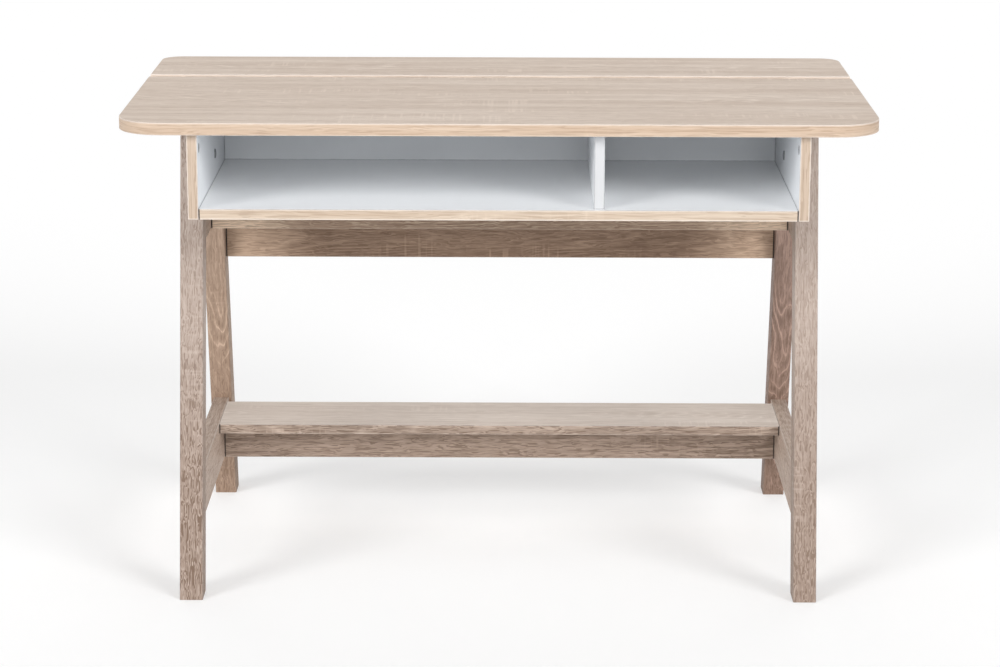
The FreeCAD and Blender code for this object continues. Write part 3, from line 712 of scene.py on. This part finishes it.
def node_islands(node):
    """Lowest and highest corners of each separate solid in a node, from its merged triangles."""
    points = node_points(node)
    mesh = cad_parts[node].data
    edges = np.empty(len(mesh.edges) * 2, np.int32)
    mesh.edges.foreach_get("vertices", edges)
    _, merged = np.unique(np.round(points, MERGE_DIGITS), axis=0, return_inverse=True)
    ends = merged.ravel()[edges.reshape(-1, 2)]
    label = np.arange(merged.max() + 1)
    while True:
        low = np.minimum(label[ends[:, 0]], label[ends[:, 1]])
        fresh = label.copy()
        np.minimum.at(fresh, ends[:, 0], low)
        np.minimum.at(fresh, ends[:, 1], low)
        fresh = fresh[fresh]
        if np.array_equal(fresh, label):
            break
        label = fresh
    owner = label[merged.ravel()]
    return [(points[owner == key].min(0), points[owner == key].max(0)) for key in np.unique(owner)]


# Operators


class DESK_OT_top_boards(bpy.types.Operator):
    """Finish the two top boards in pale oak with the grain along the desk and a white underside"""

    bl_idname = "desk.top_boards"
    bl_label = "Top boards"

    def execute(self, context):
        for seed, node in enumerate(("front_top", "rear_top"), start=1):
            board = Board(node)
            dress(node, oak(f"pale oak {node}", board.place, board.half, **wood("top"), seed=float(seed),
                            backing=tuple(colours().white), **TOP_OAK))
        return {"FINISHED"}


class DESK_OT_top_banding(bpy.types.Operator):
    """Run banding round the edge of both top boards, with its pattern unrolled along it"""

    bl_idname = "desk.top_banding"
    bl_label = "Top banding"

    def execute(self, context):
        rows = (("front_top_banding", "band", details().front_corner, True),
                ("rear_top_banding", "rear_band", details().rear_corner, False))
        for seed, (node, key, radius, rounds_front) in enumerate(rows, start=3):
            low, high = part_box(node)
            tall = high[2] - low[2]

            def place(graph):
                source = graph.put("ShaderNodeUVMap", uv_map="unrolled").outputs[0]
                return graph.vector("SUBTRACT", source, (0.0, tall / 2, 0.0))

            material = oak(f"banding {node}", place, (ENDLESS, tall / 2, 0.0), **wood(key), seed=float(seed),
                           **BANDING_OAK)
            mesh = banding_mesh(f"{node}_loop", node, radius, rounds_front)
            piece(f"{node}_loop", mesh, material, "oak_banding", node)
        return {"FINISHED"}


class DESK_OT_box(bpy.types.Operator):
    """Finish the box in white board, with oak banding on its front edges"""

    bl_idname = "desk.box"
    bl_label = "Box"

    def execute(self, context):
        # Sides and floor take the paler copies of the white and the back the deeper one, as painted light
        whites = (("box_side_left", "white_side", -1.0), ("box_side_right", "white_side", 1.0),
                  ("box_floor", "white_floor", 0.0), ("box_back", "white_back", 0.0),
                  ("box_divider", "white", 0.0), ("box_divider_banding", "white_edge", 0.0))
        for node, key, outer in whites:
            board = Board(node)
            white = tuple(getattr(colours(), key))
            dress(node, white_board(f"white {node}", board.place, board.half, white, outer))
        rows = (("box_side_banding_left", "side_band", UPRIGHT, 0.0),
                ("box_side_banding_right", "side_band", UPRIGHT, 0.0),
                ("box_floor_banding", "floor_band", LEVEL, JOINT_REACH))
        for seed, (node, key, turn, ends) in enumerate(rows, start=5):
            board = Board(node, turn)
            dress(node, oak(f"banding {node}", board.place, board.half, **wood(key), seed=float(seed), ends=ends,
                            **BANDING_OAK))
        return {"FINISHED"}


class DESK_OT_frames(bpy.types.Operator):
    """Finish legs and cross rails in greyed oak, with the grain along each"""

    bl_idname = "desk.frames"
    bl_label = "A-frames"

    def execute(self, context):
        for side, seed, front_lines in (("left", 11.0, 0.90), ("right", 15.0, 0.60)):
            self.leg(f"front_leg_{side}", 1.0, "front_leg", seed=seed, lines=front_lines, **FRONT_LEG_OAK)
            # The rear legs take deeper colours, partly as painted shade
            self.leg(f"rear_leg_{side}", -1.0, f"rear_{side}", seed=seed + 1.0, **REAR_LEG_OAK)
            self.cross_rail(f"upper_cross_rail_{side}", seed + 2.0)
            self.cross_rail(f"lower_cross_rail_{side}", seed + 3.0)
        return {"FINISHED"}

    def leg(self, node, lean, key, **finish):
        """Oak with the grain up the leg's own rake; lean is 1 for a front leg and -1 for a rear one."""
        rake = leg_rake(node)
        board = Board(node, (lean * rake, math.pi / 2, 0.0))
        half = (ENDLESS, leg_depth(node) * math.cos(rake) / 2, board.half[2])
        dress(node, oak(f"oak {node}", board.place, half, **wood(key), **finish))

    def cross_rail(self, node, seed):
        """Oak with the grain from front to back."""
        board = Board(node, CROSSWAYS)
        dress(node, oak(f"oak {node}", board.place, board.half, **wood("rail"), seed=seed, **CROSS_RAIL_OAK))


# Height above the floor within which a point belongs to a leg's foot
FOOT_SKIN = 0.01 * MM


def leg_depth(node):
    """A leg's depth on the floor, from its lowest points."""
    points = node_points(node)
    feet = points[points[:, 2] < points[:, 2].min() + FOOT_SKIN]
    return float(np.ptp(feet[:, 1]))


def leg_rake(node):
    """A leg's lean from upright: the run that its box has beyond its depth, over its height."""
    low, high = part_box(node)
    return math.atan((high[1] - low[1] - leg_depth(node)) / (high[2] - low[2]))


class DESK_OT_ties(bpy.types.Operator):
    """Finish shelf, stretchers and rear rail in oak, with the grain along the desk"""

    bl_idname = "desk.ties"
    bl_label = "Shelf and rails"

    def execute(self, context):
        board = Board("shelf")
        dress("shelf", oak("pale oak shelf", board.place, board.half, **wood("shelf"), seed=31.0, **SHELF_OAK))
        rows = (("shelf_banding", "shelf_edge", {"ends": JOINT_REACH, "lines": 0.6}),
                ("lower_stretcher", "stretcher", {"ends": JOINT_REACH, "lines": 0.5}),
                # The upper stretcher and the rear rail have a darker middle and paler ends, partly the wood's
                # tone and partly painted light
                ("upper_stretcher", "upper", {"ends": JOINT_REACH, "middle": 0.7, "lines": 0.3}),
                ("rear_rail", "rear_rail", {"ends": RAIL_JOINT_REACH, "middle": 0.7, "lines": 0.3}))
        for seed, (node, key, finish) in enumerate(rows, start=32):
            board = Board(node)
            dress(node, oak(f"oak {node}", board.place, board.half, **wood(key), seed=float(seed), **TIE_OAK,
                            **finish))
        return {"FINISHED"}


CROSS_STEPS, HEXAGON_STEPS = 80, 72
# A recess's outline at its floor and at its eased rim, as shares of the outline, and the rim's drop
CROSS_FLOOR, CROSS_RIM, CROSS_DROP = 0.9, 1.06, 0.15 * MM
SOCKET_FLOOR, SOCKET_RIM, SOCKET_DROP = 0.96, 1.05, 0.12 * MM
SOCKET_DEPTH = 1.5 * MM
# A bolt's dome as shares of its radius and depths below its top, then its head's thickness and shank's radius
HEAD_DOME = ((0.62, 0.05 * MM), (0.84, 0.45 * MM), (0.96, 1.0 * MM), (1.0, 1.5 * MM))
HEAD_DEPTH, SHANK_RADIUS = 2.0 * MM, 3.0 * MM


class DESK_OT_cam_locks(bpy.types.Operator):
    """Set plated cam locks with a cross recess in the boards"""

    bl_idname = "desk.cam_locks"
    bl_label = "Cam locks"

    def execute(self, context):
        outline = cross_outline(CROSS_STEPS, details().cross_length, details().cross_width)
        cams = np.stack([self.cam(low, high, outline) for low, high in node_islands("cam_locks")])
        mesh = grid_mesh("cam_lock_faces", cams, closed_rows=True, closed_columns=False)
        piece("cam_lock_faces", mesh, plated("zinc cams", tuple(colours().zinc)), "steel", "cam_locks")
        return {"FINISHED"}

    def cam(self, low, high, outline):
        """A turned disc on the cam's own box: chamfered rim, flat face and cross recess."""
        detail = details()
        size = high - low
        axis = int(np.argmin(size))
        radius, depth = float(np.max(size)) / 2, float(size[axis])
        middle = (low + high) / 2
        out = -1.0 if axis == 2 or (axis == 0 and middle[0] > 0) else 1.0
        facing = facing_rows(axis, out)
        origin = middle + np.array(facing[2]) * depth / 2
        rings = ((0.0, False, detail.recess_depth), (CROSS_FLOOR, True, detail.recess_depth),
                 (1.0, True, CROSS_DROP), (CROSS_RIM, True, 0.0), (radius - detail.cam_chamfer, False, 0.0),
                 (radius, False, detail.cam_chamfer), (radius, False, depth), (0.0, False, depth))
        return recessed_disc(outline, rings, facing, origin)


def facing_rows(axis, out):
    """Rows that carry across, up and out to the desk's axes, with out along the given axis."""
    rows = np.zeros((3, 3))
    rows[2, axis] = out
    rows[0, (axis + 1) % 3] = 1.0
    rows[1] = np.cross(rows[2], rows[0])
    return rows


class DESK_OT_leg_bolts(bpy.types.Operator):
    """Set the bolts that hold the legs, with a low domed head and a six-sided socket"""

    bl_idname = "desk.leg_bolts"
    bl_label = "Leg bolts"

    def execute(self, context):
        outline = hexagon_outline(HEXAGON_STEPS, details().socket_size)
        bolts = np.stack([self.bolt(low, high, outline) for low, high in node_islands("leg_bolts")])
        mesh = grid_mesh("leg_bolt_heads", bolts, closed_rows=True, closed_columns=False)
        piece("leg_bolt_heads", mesh, plated("zinc bolts", tuple(colours().zinc)), "steel", "leg_bolts")
        return {"FINISHED"}

    def bolt(self, low, high, outline):
        """A turned bolt on its own box: domed head with a socket, then the shank."""
        radius = float(high[2] - low[2]) / 2
        length = float(high[0] - low[0])
        middle = (low + high) / 2
        out = -math.copysign(1.0, middle[0])
        facing = facing_rows(0, out)
        origin = middle + np.array(facing[2]) * length / 2
        rings = ((0.0, False, SOCKET_DEPTH), (SOCKET_FLOOR, True, SOCKET_DEPTH), (1.0, True, SOCKET_DROP),
                 (SOCKET_RIM, True, 0.0), *((share * radius, False, drop) for share, drop in HEAD_DOME),
                 (radius, False, HEAD_DEPTH), (SHANK_RADIUS, False, HEAD_DEPTH), (SHANK_RADIUS, False, length),
                 (0.0, False, length))
        return recessed_disc(outline, rings, facing, origin)


class DESK_OT_inner_fasteners(bpy.types.Operator):
    """Finish the dowels, cam bolts and inserts that lie inside the joints"""

    bl_idname = "desk.inner_fasteners"
    bl_label = "Inner fasteners"

    def execute(self, context):
        zinc = plated("zinc inner", tuple(colours().zinc))
        dress("cam_bolts", zinc)
        dress("leg_inserts", zinc)
        light = tuple(colours().dowel)
        dark = tuple(DOWEL_DARK * part for part in light)
        board = Board("dowels")
        dress("dowels", oak("turned dowels", board.place, board.half, light, dark, seed=51.0, **DOWEL_OAK))
        return {"FINISHED"}


FLOOR_REACH, FLOOR_ROWS, FLOOR_DROP = 30.0, 9, 0.2 * MM
FLOOR_CELLS, FLOOR_TONE = (0.7, 0.7, 0.7), 0.985
FLOOR_ROUGH, FLOOR_GLOSS = 0.9, 0.1
# What is seen of the floor: a share of its colour gives way to a glow, so it stays pale and keeps the shadow
SEEN_SHADE, SEEN_GLOW = 0.3, 0.37
SKY = 0.38
# Each lamp's name and strength, then its height, its side from the front and its spread, in degrees
LAMPS = (("left", 1.8, 22.0, -45.0, 25.0), ("right", 1.8, 22.0, 45.0, 25.0),
         ("low", 0.33, 12.0, 0.0, 16.0), ("back", 0.7, 38.0, 180.0, 60.0))
# The camera's place in metres and angles in degrees, its sensor and lens in millimetres with the shift as a share
# of the sensor, and how near and far it sees in metres
STANDPOINT = (0.020, -4.210, 1.469)
PITCH_DOWN, YAW, ROLL = 13.78, 0.257, 0.145
SENSOR_WIDTH, FOCAL_LENGTH, SHIFT_UP = 36.0, 99.65, -0.05
NEAREST, FARTHEST = 0.1, 100.0


class DESK_OT_stage(bpy.types.Operator):
    """Lay the pale floor, light it softly from the front and set the camera"""

    bl_idname = "desk.stage"
    bl_label = "Stage"

    def execute(self, context):
        scene = context.scene
        scene.view_settings.view_transform = "Standard"
        self.floor()
        self.light(scene)
        self.camera(scene)
        return {"FINISHED"}

    def floor(self):
        """A level square under the feet."""
        reach = np.linspace(-FLOOR_REACH, FLOOR_REACH, FLOOR_ROWS)
        across, deep = np.meshgrid(reach, reach, indexing="ij")
        points = np.stack([across, deep, np.full_like(across, -FLOOR_DROP)], 2)
        mesh = grid_mesh("studio_floor", points[None], closed_rows=False, closed_columns=False)
        material, graph, shader = new_material("studio floor")
        tone = graph.noise(graph.put("ShaderNodeTexCoord").outputs["Object"], FLOOR_CELLS)
        pale = tuple(colours().floor)
        colour = graph.mix(tone, tuple(FLOOR_TONE * part for part in pale), pale)
        path = graph.put("ShaderNodeLightPath").outputs
        seen = graph.math("ADD", path["Is Camera Ray"], path["Is Glossy Ray"])
        seen = graph.math("ADD", seen, path["Is Transmission Ray"], clamp=True)
        colour = graph.mix(graph.math("MULTIPLY", seen, SEEN_SHADE), colour, BLACK)
        graph.feed(shader.inputs["Base Color"], colour)
        graph.feed(shader.inputs["Roughness"], FLOOR_ROUGH)
        graph.feed(shader.inputs["Specular IOR Level"], FLOOR_GLOSS)
        graph.feed(shader.inputs["Emission Color"], WHITE)
        graph.feed(shader.inputs["Emission Strength"], graph.math("MULTIPLY", seen, SEEN_GLOW))
        mesh.materials.append(material)
        item = bpy.data.objects.new("studio_floor", mesh)
        bpy.context.scene.collection.objects.link(item)

    def light(self, scene):
        """An even sky, a broad lamp on each side of the front, a low one between them and a faint one behind."""
        world = bpy.data.worlds.new("studio")
        world.use_nodes = True
        background = world.node_tree.nodes["Background"]
        background.inputs[0].default_value = WHITE
        background.inputs[1].default_value = SKY
        scene.world = world
        for name, energy, height, side, spread in LAMPS:
            lamp = bpy.data.lights.new(name, "SUN")
            lamp.energy = energy
            lamp.angle = math.radians(spread)
            item = bpy.data.objects.new(name, lamp)
            item.rotation_euler = (math.radians(90.0 - height), 0.0, math.radians(side))
            scene.collection.objects.link(item)

    def camera(self, scene):
        """The photograph's standpoint, pitched down to the desk."""
        lens = bpy.data.cameras.new("view")
        lens.sensor_width = SENSOR_WIDTH
        lens.lens = FOCAL_LENGTH
        lens.shift_y = SHIFT_UP
        lens.clip_start, lens.clip_end = NEAREST, FARTHEST
        item = bpy.data.objects.new("view", lens)
        item.location = STANDPOINT
        pitch, yaw, roll = (math.radians(angle) for angle in (90.0 - PITCH_DOWN, YAW, ROLL))
        item.rotation_euler = (Matrix.Rotation(yaw, 3, "Z") @ Matrix.Rotation(pitch, 3, "X")
                               @ Matrix.Rotation(roll, 3, "Z")).to_euler()
        scene.collection.objects.link(item)
        scene.camera = item


class DESK_PT_panel(bpy.types.Panel):
    """Desk finishes, piece by piece"""

    bl_label = "Desk"
    bl_idname = "DESK_PT_panel"
    bl_space_type = "VIEW_3D"
    bl_region_type = "UI"
    bl_category = "Desk"

    def draw(self, context):
        for settings in (context.scene.desk_colours, context.scene.desk_details):
            for name in settings.__annotations__:
                self.layout.prop(settings, name)
        for operator in OPERATORS:
            self.layout.operator(operator.bl_idname)


OPERATORS = (DESK_OT_top_boards, DESK_OT_top_banding, DESK_OT_box, DESK_OT_frames, DESK_OT_ties,
             DESK_OT_cam_locks, DESK_OT_leg_bolts, DESK_OT_inner_fasteners, DESK_OT_stage)
CLASSES = (DeskColours, DeskDetails, *OPERATORS, DESK_PT_panel)


def register():
    for kind in CLASSES:
        bpy.utils.register_class(kind)
    bpy.types.Scene.desk_colours = PointerProperty(type=DeskColours)
    bpy.types.Scene.desk_details = PointerProperty(type=DeskDetails)


def unregister():
    del bpy.types.Scene.desk_details
    del bpy.types.Scene.desk_colours
    for kind in reversed(CLASSES):
        bpy.utils.unregister_class(kind)


def main():
    register()
    bpy.ops.desk.top_boards()
    bpy.ops.desk.top_banding()
    bpy.ops.desk.box()
    bpy.ops.desk.frames()
    bpy.ops.desk.ties()
    bpy.ops.desk.cam_locks()
    bpy.ops.desk.leg_bolts()
    bpy.ops.desk.inner_fasteners()
    bpy.ops.desk.stage()


if __name__ == "__main__":
    main()
